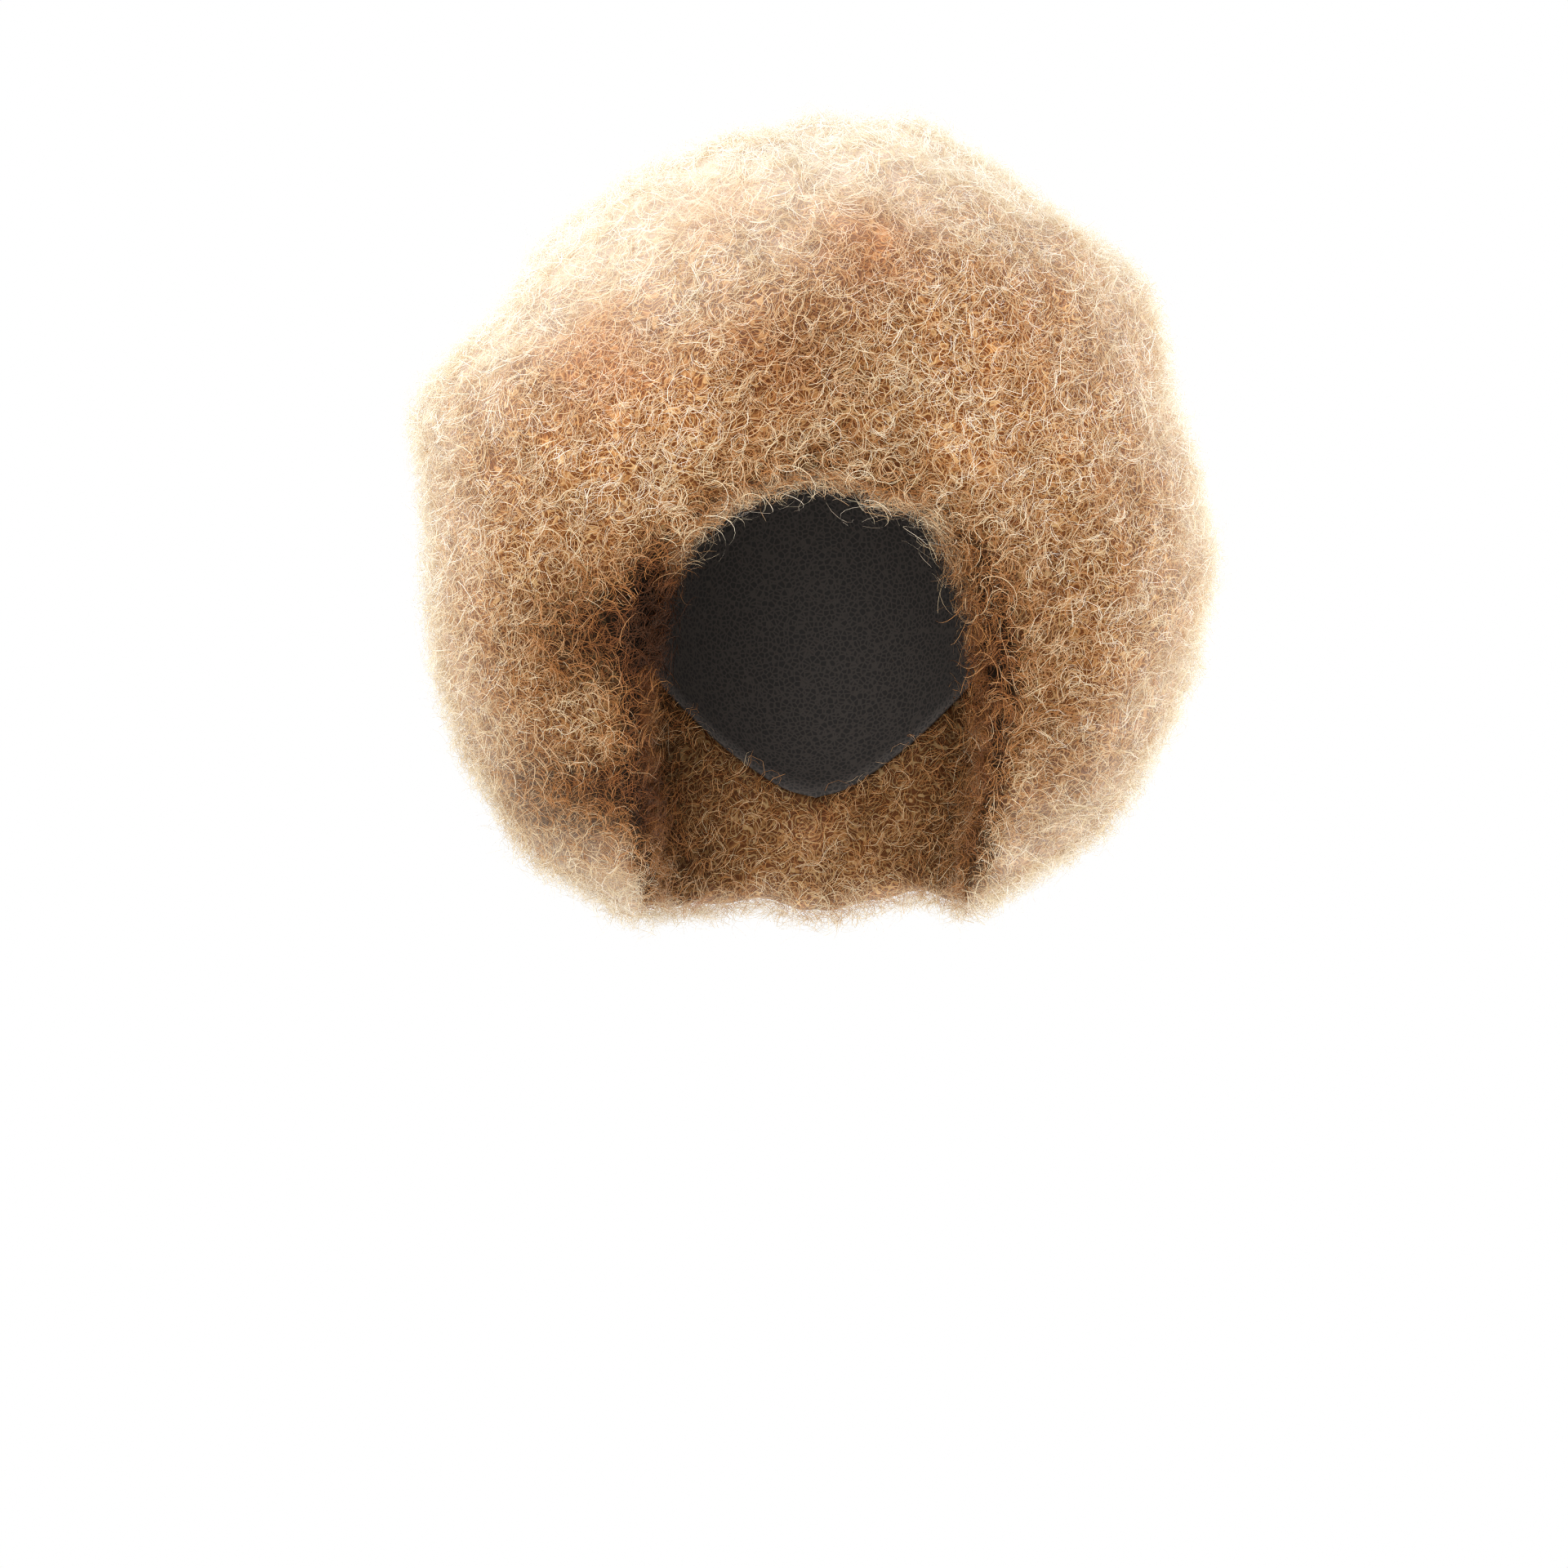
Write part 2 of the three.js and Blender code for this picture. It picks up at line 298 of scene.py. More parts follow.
def mesh_from(name, places, faces):
    """A mesh from an array of places and an array of faces with the same number of corners."""
    mesh = bpy.data.meshes.new(name)
    corners = faces.shape[1]
    mesh.vertices.add(len(places))
    mesh.vertices.foreach_set("co", np.asarray(places, dtype=np.float32).ravel())
    mesh.loops.add(faces.size)
    mesh.loops.foreach_set("vertex_index", np.asarray(faces, dtype=np.int32).ravel())
    mesh.polygons.add(len(faces))
    mesh.polygons.foreach_set("loop_start", np.arange(0, faces.size, corners, dtype=np.int32))
    mesh.update(calc_edges=True)
    mesh.validate()
    return mesh


def shown(name, mesh):
    """An object for a mesh, linked to the scene."""
    piece = bpy.data.objects.new(name, mesh)
    bpy.context.scene.collection.objects.link(piece)
    return piece


def node_corners(node):
    """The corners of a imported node's triangles: triangle, corner, coordinate."""
    mesh = node.data
    mesh.calc_loop_triangles()
    places = np.empty(3 * len(mesh.vertices), dtype=np.float32)
    mesh.vertices.foreach_get("co", places)
    index = np.empty(3 * len(mesh.loop_triangles), dtype=np.int32)
    mesh.loop_triangles.foreach_get("vertices", index)
    matrix = np.array(node.matrix_world)
    places = places.reshape(-1, 3) @ matrix[:3, :3].T + matrix[:3, 3]
    return places[index].reshape(-1, 3, 3)


def hair_skin(nodes):
    """The hair's outer and inner skins as one welded mesh.

    A face's label is its hair node's number, or -1 on the inside, against the cap.
    """
    names = HAIR_NODES + [CAP_NODE]
    parts = [node_corners(nodes[name]) for name in names]
    corners = np.concatenate(parts)
    owner = np.repeat(np.arange(len(names)), [len(part) for part in parts])
    faces = np.arange(3 * len(corners)).reshape(-1, 3)
    tree = BVHTree.FromPolygons(corners.reshape(-1, 3).tolist(), faces.tolist())
    normals = unit(np.cross(corners[:, 1] - corners[:, 0], corners[:, 2] - corners[:, 0]))
    starts = corners.mean(axis=1) + normals * RAY_LIFT
    hits = [tree.ray_cast(Vector(at), Vector(out), SEAM_REACH)[2] for at, out in zip(starts, normals)]
    met = np.array([-1 if hit is None else owner[hit] for hit in hits])
    cap_number = len(HAIR_NODES)
    is_hair = owner < cap_number
    is_inside = is_hair & (met == cap_number)
    is_outside = is_hair & (met == -1)
    kept = is_inside | is_outside
    label = np.where(is_inside, -1, owner)[kept]
    mesh = mesh_from("skin", corners[kept].reshape(-1, 3), np.arange(3 * kept.sum()).reshape(-1, 3))
    mesh.attributes.new("label", "INT", "FACE").data.foreach_set("value", label.astype(np.int32))
    work = bmesh.new()
    work.from_mesh(mesh)
    bmesh.ops.remove_doubles(work, verts=work.verts, dist=SEAM_WELD)
    # A face with a free edge is left over from a seam.
    loose = [face for face in work.faces if any(edge.is_boundary for edge in face.edges)]
    bmesh.ops.delete(work, geom=loose, context="FACES")
    work.to_mesh(mesh)
    work.free()
    calm(mesh)
    return mesh


def face_labels(mesh):
    """The hair node's number of every face of the skin, or -1 on its inside."""
    label = np.empty(len(mesh.polygons), dtype=np.int32)
    mesh.attributes["label"].data.foreach_get("value", label)
    return label


def outer_corners(mesh):
    """Which of the skin's vertices belong to no inside face."""
    vertex = np.empty(len(mesh.loops), dtype=np.int32)
    mesh.loops.foreach_get("vertex_index", vertex)
    sides = np.empty(len(mesh.polygons), dtype=np.int32)
    mesh.polygons.foreach_get("loop_total", sides)
    is_outer = np.ones(len(mesh.vertices), dtype=bool)
    is_outer[vertex[np.repeat(face_labels(mesh) < 0, sides)]] = False
    return is_outer


def calm(mesh):
    """Moves the outer vertices to the middle of their neighbours and back in shares, and then outwards."""
    is_outer = outer_corners(mesh)
    places = read_vectors(mesh.vertices, "co")
    edges = np.empty(2 * len(mesh.edges), dtype=np.int32)
    mesh.edges.foreach_get("vertices", edges)
    near, far = edges.reshape(-1, 2).T
    neighbours = np.bincount(edges, minlength=len(places))[:, None]
    for share in CALM_SHARES * CALM_ROUNDS:
        total = np.zeros_like(places)
        np.add.at(total, near, places[far])
        np.add.at(total, far, places[near])
        places[is_outer] += share * (total / neighbours - places)[is_outer]
    mesh.vertices.foreach_set("co", places.astype(np.float32).ravel())
    mesh.update()
    normals = read_vectors(mesh.vertices, "normal")
    outward = (unit(places - HAIR_MIDDLE) * normals).sum(axis=1)
    places += normals * (FILL_OUT * is_outer * np.clip(FILL_STEEPNESS * outward, WALL_FILL, 1))[:, None]
    mesh.vertices.foreach_set("co", places.astype(np.float32).ravel())
    mesh.update()


def read_vectors(collection, name):
    """A vector property of every element, as an array of rows."""
    values = np.empty(3 * len(collection), dtype=np.float32)
    collection.foreach_get(name, values)
    return values.reshape(-1, 3).astype(float)


def set_values(mesh, name, values):
    """Gives every vertex a number under a name that materials can read."""
    attribute = mesh.attributes.new(name, "FLOAT", "POINT")
    attribute.data.foreach_set("value", np.ravel(values).astype(np.float32))


def opening_nearness(places):
    """1 at the edge of the front opening, falling to 0 away from it: an ellipse as seen from the front."""
    across, up = np.moveaxis(places[..., [0, 2]] - OPENING_MIDDLE, -1, 0)
    from_middle = np.stack(
        [across / OPENING_HALF_WIDTH, up / np.where(up > 0, OPENING_HALF_HEIGHT, OPENING_DROP)],
        axis=-1,
    )
    away = np.clip((np.linalg.norm(from_middle, axis=-1) - 1) / OPENING_SHADE_REACH, 0, 1)
    forward = np.clip((OPENING_BEHIND - places[..., 1]) / OPENING_BEHIND, 0, 1)
    return (1 - away) ** OPENING_SHADE_POWER * forward


def patches(places, table):
    """The sum of soft oval patches on the front of the hair."""
    total = np.zeros(places.shape[:-1])
    for across, height, half_width, half_height, strength in table:
        sideways = (places[..., 0] / MM - across) / half_width
        upwards = (places[..., 2] / MM - height) / half_height
        total += strength * np.exp(-(sideways**2) - upwards**2)
    return np.clip(total, 0, 1) * np.clip((OPENING_BEHIND - places[..., 1]) / OPENING_BEHIND, 0, 1)


def tufts(places):
    """About 1 on the hair's tufts and -1 between them: waves of several lengths and directions, added up."""
    rng = np.random.default_rng(SEED)
    ways = unit(rng.normal(size=(TUFT_WAVES, 3)))
    spacing = rng.uniform(*TUFT_SPACING, (TUFT_WAVES, 1)) * MM
    phase = rng.uniform(0, 2 * math.pi, TUFT_WAVES)
    waves = np.sin(2 * math.pi * places @ (ways / spacing).T + phase)
    return np.clip(waves.sum(axis=-1) / math.sqrt(TUFT_WAVES / 2), -TUFT_LIMIT, TUFT_LIMIT)


def shading(places, normals):
    """The painted shade: about 1 on open hair, and less beside the opening, on the shade patches, on walls
    and between tufts.
    """
    outward = (unit(places - HAIR_MIDDLE) * normals).sum(axis=-1)
    under = np.clip((UNDER_START - outward) / UNDER_START, 0, 1) * np.clip(1 + normals[..., 2], 0, 1)
    edge = OPENING_SHADE * opening_nearness(places)
    dark = (1 - patches(places, SHADE_PATCHES)) * (1 - RED_SHADE * patches(places, RED_PATCHES))
    return (1 - edge) * dark * (1 - UNDER_SHADE * under) * (1 + TUFT_SHADE * tufts(places))


def painted_light(places, normals):
    """How pale the painted light makes the hair: a belt that fades forwards and back, and a crown that fades
    downwards.
    """
    ways = unit(places - HAIR_MIDDLE)
    outer = LIGHT_BELT_OUTER + ways @ LIGHT_BELT_LEAN
    outer = np.where(ways[..., 1] > 0, LIGHT_BELT_OUTER_BEHIND, outer)
    belt = np.clip((outer - np.abs(ways[..., 1])) / (outer - LIGHT_BELT_INNER), 0, 1)
    low, high = LIGHT_CROWN_RANGE
    crown = np.clip((ways @ LIGHT_CROWN_WAY - low) / (high - low), 0, 1)
    on_belt = LIGHT_BELT_STRENGTH * belt * belt * (3 - 2 * belt)
    on_crown = LIGHT_CROWN_STRENGTH * crown * crown * (3 - 2 * crown)
    outward = np.clip(LIGHT_OUTWARD * (ways * normals).sum(axis=-1), 0, 1)
    return (1 - (1 - on_belt) * (1 - on_crown)) * outward


def hair_body(skin):
    """The skin, set inwards and rounded off, with its painted shade, its painted light and its red patches.
    """
    rough_mesh = skin.copy()
    depths = BODY_DEPTH * outer_corners(rough_mesh)[:, None]
    inset = read_vectors(rough_mesh.vertices, "normal") * depths
    rough_places = read_vectors(rough_mesh.vertices, "co") - inset
    rough_mesh.vertices.foreach_set("co", rough_places.astype(np.float32).ravel())
    rough = shown("rough_body", rough_mesh)
    rounding = rough.modifiers.new("rounding", "SUBSURF")
    rounding.levels = BODY_LEVELS
    rounding.render_levels = BODY_LEVELS
    graph = bpy.context.evaluated_depsgraph_get()
    mesh = bpy.data.meshes.new_from_object(rough.evaluated_get(graph))
    bpy.data.objects.remove(rough)
    mesh.name = "hair_body"
    places = read_vectors(mesh.vertices, "co")
    normals = read_vectors(mesh.vertices, "normal")
    mesh.shade_smooth()
    # pale is the painted light on the belt and crown; the tone holds painted shade and that painted light.
    pale = painted_light(places, normals)
    set_values(mesh, "tone", shading(places, normals) ** BODY_SHADE * (BODY_TONE + (1 - BODY_TONE) * pale))
    set_values(mesh, "pale", pale)
    set_values(mesh, "red", patches(places, RED_PATCHES))
    return shown("hair_body", mesh)


class Skin:
    """The welded skin's outer faces as arrays, to draw places on it from."""

    def __init__(self, mesh):
        mesh.calc_loop_triangles()
        index = np.empty(3 * len(mesh.loop_triangles), dtype=np.int32)
        mesh.loop_triangles.foreach_get("vertices", index)
        polygon = np.empty(len(mesh.loop_triangles), dtype=np.int32)
        mesh.loop_triangles.foreach_get("polygon_index", polygon)
        label = face_labels(mesh)[polygon]
        index = index.reshape(-1, 3)[label >= 0]
        self.label = label[label >= 0]
        self.places = read_vectors(mesh.vertices, "co")[index]
        self.normals = read_vectors(mesh.vertices, "normal")[index]
        crosses = np.cross(self.places[:, 1] - self.places[:, 0], self.places[:, 2] - self.places[:, 0])
        self.areas = np.linalg.norm(crosses, axis=1) / 2

    def draw(self, rng, count, weights):
        """Random places, evenly by area times weight: (places, outward unit vectors, hair node's number).

        The faces laid end to end are cut into as many equal steps, and each step gives one place.
        """
        ends = np.cumsum(self.areas * weights)
        steps = (np.arange(count) + rng.uniform(size=count)) / count
        face = np.minimum(np.searchsorted(ends, steps * ends[-1]), len(ends) - 1)
        a, b = rng.uniform(size=(2, count))
        over = a + b > 1
        a = np.where(over, 1 - a, a)
        b = np.where(over, 1 - b, b)
        parts = np.stack([1 - a - b, a, b], axis=1)[..., None]
        places = (self.places[face] * parts).sum(axis=1)
        normals = unit((self.normals[face] * parts).sum(axis=1))
        return places, normals, self.label[face]


def clump_values(rng, kind, low_high, shift=0.0):
    """A value for each strand: one drawn for its clump, moved at random by the clump's spread."""
    low, high = low_high
    clump = np.repeat(rng.uniform(low, high, kind["clumps"]), kind["clump"])
    own = rng.uniform(low, high, len(clump))
    mixed = clump + kind["spread"] * (own - clump)
    return (mixed + shift * rng.uniform(-1, 1, len(clump)))[:, None]


def helix_paths(rng, places, axes, kind):
    """Left-handed coils about an axis: (strand, point, coordinate), and the coil's outward unit vectors.

    The angle falls evenly along a strand, its place on the axis rises evenly, and its radius drifts.
    """
    share = np.linspace(0, 1, kind["points"])
    turns = clump_values(rng, kind, kind["turns"])
    radius = clump_values(rng, kind, kind["radius"], RADIUS_SHIFT) * MM
    length = clump_values(rng, kind, kind["length"]) * MM
    start = clump_values(rng, kind, kind["start"], START_SHIFT) * MM
    phase = clump_values(rng, kind, (0, 2 * math.pi))
    wobble = clump_values(rng, kind, (-COIL_WOBBLE, COIL_WOBBLE))
    angle = phase - 2 * math.pi * turns * share
    radius = radius * (1 + wobble * (2 * share - 1))
    along = start + length * share
    first, second = square_pair(axes)
    outward = np.cos(angle)[..., None] * first[:, None] + np.sin(angle)[..., None] * second[:, None]
    paths = places[:, None] + axes[:, None] * along[..., None] + outward * radius[..., None]
    return paths, outward


def wave_paths(rng, places, normals, kind):
    """Flat waves that follow the comb over the hair: (strand, point, coordinate), and the way they swing.

    A sine swings a strand sideways, a cosine rolls it up and down, and half a sine raises its middle.
    """
    share = np.linspace(0, 1, kind["points"])
    stray = np.repeat(rng.normal(0, COMB_STRAY, (kind["clumps"], 3)), kind["clump"], axis=0)
    along_hair = unit(COMB - normals * (normals @ COMB)[:, None] + stray)
    sideways = unit(np.cross(normals, along_hair))
    turns = clump_values(rng, kind, kind["turns"])
    radius = clump_values(rng, kind, kind["radius"]) * MM
    length = clump_values(rng, kind, kind["length"]) * MM
    start = clump_values(rng, kind, kind["start"], START_SHIFT) * MM
    phase = clump_values(rng, kind, (0, 2 * math.pi))
    angle = phase + 2 * math.pi * turns * share
    swing = radius * np.sin(angle)
    lift = start + WAVE_LIFT * np.sin(math.pi * share) + WAVE_ROLL * radius * np.cos(angle)
    paths = (
        places[:, None]
        + along_hair[:, None] * (length * (share - 0.5))[..., None]
        + sideways[:, None] * swing[..., None]
        + normals[:, None] * lift[..., None]
    )
    return paths, sideways[:, None] * np.cos(angle)[..., None]


def combed_weight(places, elsewhere, combed):
    """How densely a kind stands: one value on the combed part of the hair, another elsewhere."""
    low, high = COMBED_RANGE
    share = np.clip((unit(places - HAIR_MIDDLE) @ COMBED_SIDE - low) / (high - low), 0, 1)
    return elsewhere + (combed - elsewhere) * share


def strands_of(rng, skin, kind_name):
    """All strands of one kind as a dict of arrays, and their width: paths, tones and the like.

    A tone is the strand's own draw, made paler by painted light and darker by painted shade at its place,
    and darker towards its root by painted shade.
    """
    kind = CURLS[kind_name]
    at_opening = kind.get("at_opening", False)
    middles = skin.places.mean(axis=1)
    outward = (unit(middles - HAIR_MIDDLE) * unit(skin.normals.mean(axis=1))).sum(axis=1)
    open_weight = np.clip(outward + INNER_WEIGHT, INNER_WEIGHT, 1)
    open_weight *= combed_weight(middles, *kind.get("combed", (1.0, 1.0)))
    weights = opening_nearness(middles) ** EDGE_STRAND_POWER if at_opening else open_weight
    drawn = skin.draw(rng, kind["clumps"], weights)
    places, normals, label = (np.repeat(values, kind["clump"], axis=0) for values in drawn)
    lean = np.repeat(rng.normal(size=(kind["clumps"], 3)), kind["clump"], axis=0)
    lean = lean + STRAND_LEAN * rng.normal(size=lean.shape)
    axes = unit(normals + kind["tilt"] * lean / math.sqrt(2))
    places = places + rng.normal(0, CLUMP_GAP / 2, places.shape) * (kind["clump"] > 1)
    if kind_name == "wave":
        paths, outward = wave_paths(rng, places, normals, kind)
    else:
        paths, outward = helix_paths(rng, places, axes, kind)
    # Painted shade by depth: a strand is darker where it runs deep in the hair.
    height = ((paths - places[:, None]) * normals[:, None]).sum(axis=-1)
    rise = np.clip((height - DEEP) / (HIGH - DEEP), 0, 1)
    depth_tone = DEEP_TONE + (1 - DEEP_TONE) * rise * rise * (3 - 2 * rise)
    shade = shading(places, normals)
    # Painted light on the tips that stand out, dimmed by the painted shade.
    tip = TIP_LIGHT_PAINT * np.clip((height - HIGH) / (TIP_HIGH - HIGH), 0, 1) * shade[:, None]
    # Painted light from above: the tones spread further at the top.
    contrast = 1 + CONTRAST_RISE * unit(places - HAIR_MIDDLE)[:, 2]
    tone = MIDDLE_TONE + (rng.uniform(*kind["tone"], len(places)) - MIDDLE_TONE) * contrast
    # Painted light on the belt and crown.
    tone += painted_light(places, normals) * (1 - tone)
    tone *= shade ** (rng.uniform(*STRAND_SHADE, len(places)) * (EDGE_STRAND_SHADE if at_opening else 1))
    round_normals = unit(normals + unit(places - HAIR_MIDDLE))
    return dict(
        paths=paths,
        facing=unit(CURL_FACING * outward + normals[:, None]),
        normals=np.broadcast_to(round_normals[:, None], paths.shape),
        tone=tone[:, None] * depth_tone * (1 - tip) + tip,
        red=np.broadcast_to(patches(places, RED_PATCHES)[:, None], height.shape),
        label=label,
        is_right=places[:, 0] >= 0,
        width=kind["width"],
    )


def ribbons(strands, mine):
    """Ribbons along some of the strands: a dict of flat arrays. Each has its own strip of the bake's map."""
    paths = strands["paths"][mine]
    count, points = paths.shape[:2]
    along = unit(np.gradient(paths, axis=1))
    side = unit(np.cross(along, strands["facing"][mine]))
    flat = np.cross(side, along)
    normals = unit(ROUNDNESS * strands["normals"][mine] + (1 - ROUNDNESS) * flat)
    share = np.linspace(0, 1, points)
    half = 0.5 * strands["width"] * MM * (1 - (1 - TIP_WIDTH) * share**3)
    reach = side * half[None, :, None]
    index = np.arange(count * points * 2).reshape(count, points, 2)
    quads = np.stack([index[:, :-1, 0], index[:, :-1, 1], index[:, 1:, 1], index[:, 1:, 0]], axis=-1)
    columns = math.ceil(math.sqrt(count * 4))
    rows = math.ceil(count / columns)
    strip = np.arange(count)[:, None, None]
    left = (strip % columns + STRIP_SIDES) / columns
    up = (strip // columns + STRIP_START + STRIP_LENGTH * share[:, None]) / rows
    both_sides = (count, points, 2)
    return dict(
        places=np.stack([paths - reach, paths + reach], axis=2).reshape(-1, 3),
        faces=quads.reshape(-1, 4),
        normals=np.broadcast_to(normals[:, :, None], both_sides + (3,)).reshape(-1, 3),
        tone=np.broadcast_to(strands["tone"][mine][..., None], both_sides).ravel(),
        red=np.broadcast_to(strands["red"][mine][..., None], both_sides).ravel(),
        uv=np.stack(np.broadcast_arrays(left, up), axis=-1).reshape(-1, 2),
    )


def strand_piece(name, parts, material):
    """One piece from several sets of ribbons, whose maps lie side by side."""
    starts = np.cumsum([0] + [len(part["places"]) for part in parts])
    faces = np.concatenate([part["faces"] + start for part, start in zip(parts, starts)])
    uv = np.concatenate([(part["uv"] + [number, 0]) / [len(parts), 1] for number, part in enumerate(parts)])
    keys = ("places", "normals", "tone", "red")
    joined = {key: np.concatenate([part[key] for part in parts]) for key in keys}
    mesh = mesh_from(name, joined["places"], faces)
    set_values(mesh, "tone", joined["tone"])
    set_values(mesh, "red", joined["red"])
    mesh.uv_layers.new(name="OFBake").data.foreach_set("uv", uv[faces.ravel()].astype(np.float32).ravel())
    mesh.shade_smooth()
    mesh.normals_split_custom_set_from_vertices(joined["normals"].tolist())
    mesh.materials.append(material)
    return shown(name, mesh)


def new_material(name):
    """A material's node tree with its shader: (material, nodes, links, shader)."""
    material = bpy.data.materials.new(name)
    material.use_nodes = True
    nodes = material.node_tree.nodes
    return material, nodes, material.node_tree.links, nodes["Principled BSDF"]


def ramp_node(nodes, stops):
    """A colour ramp with these (place, colour) stops."""
    ramp = nodes.new("ShaderNodeValToRGB")
    elements = ramp.color_ramp.elements
    while len(elements) < len(stops):
        elements.new(0.5)
    for element, (place, colour) in zip(elements, stops):
        element.position = place
        element.color = (*colour, 1)
    return ramp


def attribute_socket(nodes, name):
    """The number that the vertices carry under a name."""
    attribute = nodes.new("ShaderNodeAttribute")
    attribute.attribute_name = name
    return attribute.outputs["Fac"]


def reddened(nodes, links, colour):
    """A colour multiplied by the red tint as far as the vertices' red says."""
    mix = nodes.new("ShaderNodeMix")
    mix.data_type = "RGBA"
    mix.blend_type = "MULTIPLY"
    links.new(attribute_socket(nodes, "red"), mix.inputs[0])
    links.new(colour, mix.inputs[6])
    mix.inputs[7].default_value = RED_TINT
    return mix.outputs[2]


def strand_material():
    """Hair from reddish brown to cream with the tone of its strand, which holds painted light and painted
    shade besides its own colour; some light comes through.
    """
    material, nodes, links, shader = new_material("curl_strands")
    tone = attribute_socket(nodes, "tone")
    ramp = ramp_node(nodes, HAIR_COLOURS)
    links.new(tone, ramp.inputs["Fac"])
    links.new(reddened(nodes, links, ramp.outputs["Color"]), shader.inputs["Base Color"])
    shader.inputs["Roughness"].default_value = STRAND_ROUGHNESS
    shader.inputs["Specular IOR Level"].default_value = STRAND_SHINE
    shader.inputs["Specular Tint"].default_value = SHINE_TINT
    light_ramp = ramp_node(nodes, LIGHT_THROUGH_COLOURS)
    links.new(tone, light_ramp.inputs["Fac"])
    through = nodes.new("ShaderNodeBsdfTranslucent")
    links.new(light_ramp.outputs["Color"], through.inputs["Color"])
    mix = nodes.new("ShaderNodeMixShader")
    mix.inputs["Fac"].default_value = LIGHT_THROUGH
    links.new(shader.outputs["BSDF"], mix.inputs[1])
    links.new(through.outputs["BSDF"], mix.inputs[2])
    links.new(mix.outputs["Shader"], nodes["Material Output"].inputs["Surface"])
    return material


def curl_lines(nodes, links, place, scale, levels, seed, sharpness):
    """Thin bright lines along the level curves of a noise, which close into rings: a socket of 0 to 1."""
    noise = nodes.new("ShaderNodeTexNoise")
    noise.noise_dimensions = "4D"
    noise.inputs["W"].default_value = seed
    noise.inputs["Scale"].default_value = scale
    noise.inputs["Detail"].default_value = 1
    links.new(place.outputs["Object"], noise.inputs["Vector"])
    turns = nodes.new("ShaderNodeMath")
    turns.operation = "MULTIPLY"
    turns.inputs[1].default_value = levels * 2 * math.pi
    links.new(noise.outputs["Fac"], turns.inputs[0])
    wave = nodes.new("ShaderNodeMath")
    wave.operation = "SINE"
    links.new(turns.outputs["Value"], wave.inputs[0])
    line = nodes.new("ShaderNodeMapRange")
    line.interpolation_type = "SMOOTHSTEP"
    line.inputs["From Min"].default_value = sharpness
    line.inputs["From Max"].default_value = 1.0
    links.new(wave.outputs["Value"], line.inputs["Value"])
    return line.outputs["Result"]


def body_material():
    """The curls deeper in the hair: three layers of thin ringed lines over dark reddish brown, partly
    painted shade, with painted light and painted shade in its tone.
    """
    material, nodes, links, shader = new_material("curl_depths")
    place = nodes.new("ShaderNodeTexCoord")
    colour = None
    height = None
    for number, (scale, levels, sharpness, tint) in enumerate(BODY_LINES):
        line = curl_lines(nodes, links, place, scale, levels, BODY_LINES_APART * number, sharpness)
        mix = nodes.new("ShaderNodeMix")
        mix.data_type = "RGBA"
        links.new(line, mix.inputs[0])
        if colour is None:
            mix.inputs[6].default_value = (*BODY_DARK, 1)
        else:
            links.new(colour, mix.inputs[6])
        mix.inputs[7].default_value = (*tint, 1)
        colour = mix.outputs[2]
        if height is None:
            height = line
        else:
            higher = nodes.new("ShaderNodeMath")
            higher.operation = "MAXIMUM"
            links.new(height, higher.inputs[0])
            links.new(line, higher.inputs[1])
            height = higher.outputs["Value"]
    # Painted light: the body turns towards its lit colour as far as pale says.
    pale = nodes.new("ShaderNodeMix")
    pale.data_type = "RGBA"
    links.new(attribute_socket(nodes, "pale"), pale.inputs[0])
    links.new(colour, pale.inputs[6])
    pale.inputs[7].default_value = BODY_PAINTED_LIGHT
    colour = pale.outputs[2]
    shade = nodes.new("ShaderNodeVectorMath")
    shade.operation = "SCALE"
    links.new(reddened(nodes, links, colour), shade.inputs[0])
    links.new(attribute_socket(nodes, "tone"), shade.inputs["Scale"])
    links.new(shade.outputs["Vector"], shader.inputs["Base Color"])
    bump = nodes.new("ShaderNodeBump")
    bump.inputs["Strength"].default_value = BODY_BUMP
    bump.inputs["Distance"].default_value = BODY_BUMP_DEPTH
    links.new(height, bump.inputs["Height"])
    links.new(bump.outputs["Normal"], shader.inputs["Normal"])
    shader.inputs["Roughness"].default_value = BODY_ROUGHNESS
    shader.inputs["Specular IOR Level"].default_value = BODY_SHINE
    shader.inputs["Specular Tint"].default_value = SHINE_TINT
    return material


def cap_material():
    """Near-black stretch net: a fine mesh of threads."""
    material, nodes, links, shader = new_material("cap_net")
    place = nodes.new("ShaderNodeTexCoord")
    cells = nodes.new("ShaderNodeTexVoronoi")
    cells.feature = "DISTANCE_TO_EDGE"
    cells.inputs["Scale"].default_value = NET_SCALE
    links.new(place.outputs["Object"], cells.inputs["Vector"])
    ramp = ramp_node(nodes, NET_COLOURS)
    links.new(cells.outputs["Distance"], ramp.inputs["Fac"])
    links.new(ramp.outputs["Color"], shader.inputs["Base Color"])
    shader.inputs["Roughness"].default_value = NET_ROUGHNESS
    return material


def smooth_through(values, at):
    """Cubic pieces through values at whole numbers, sloped as the chords between each one's neighbours."""
    slopes = np.gradient(values.astype(float))
    i = np.minimum(at.astype(int), len(values) - 2)
    s = at - i
    rise = s * s * (3 - 2 * s)
    bend = s * (1 - s) * (slopes[i] * (1 - s) - slopes[i + 1] * s)
    return values[i] * (1 - rise) + values[i + 1] * rise + bend


